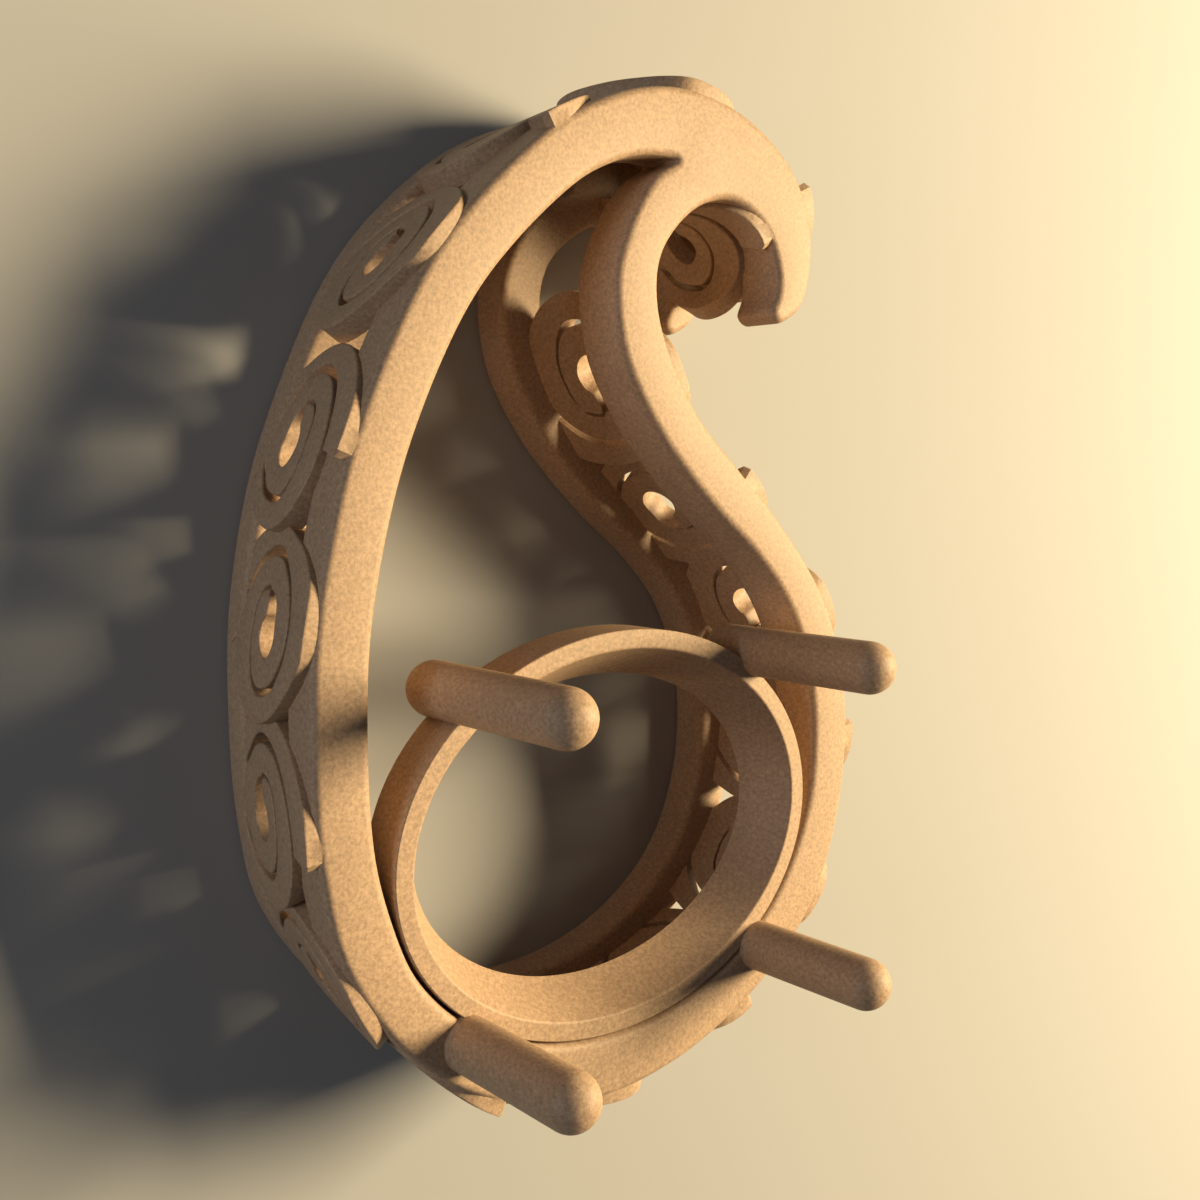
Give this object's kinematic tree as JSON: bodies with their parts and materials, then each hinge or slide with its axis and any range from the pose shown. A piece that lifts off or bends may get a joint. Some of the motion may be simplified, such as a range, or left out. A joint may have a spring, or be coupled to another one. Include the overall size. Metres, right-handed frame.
{
  "type": "paisley mount for an oval stone",
  "caption": "Open paisley-shaped cast mount: front and back rails joined by running spiral scrolls, an oval collet with a tapered bore in the lower lobe, and straight round claws.",
  "frame": {"origin": "middle of the underside: the centre of the bounding box, on the back face of the back rail", "axes": "+Z is the way the stone faces and the claws point, +Y runs up from the round lobe to the curled head, +X is the side that the head curls to"},
  "size_m": [0.0108, 0.0158, 0.006],
  "materials": {
    "casting": "matt, finely grained, as blasted after casting"
  },
  "bodies": {
    "root": {"paisley_mount": "casting"}
  },
  "joints": []
}
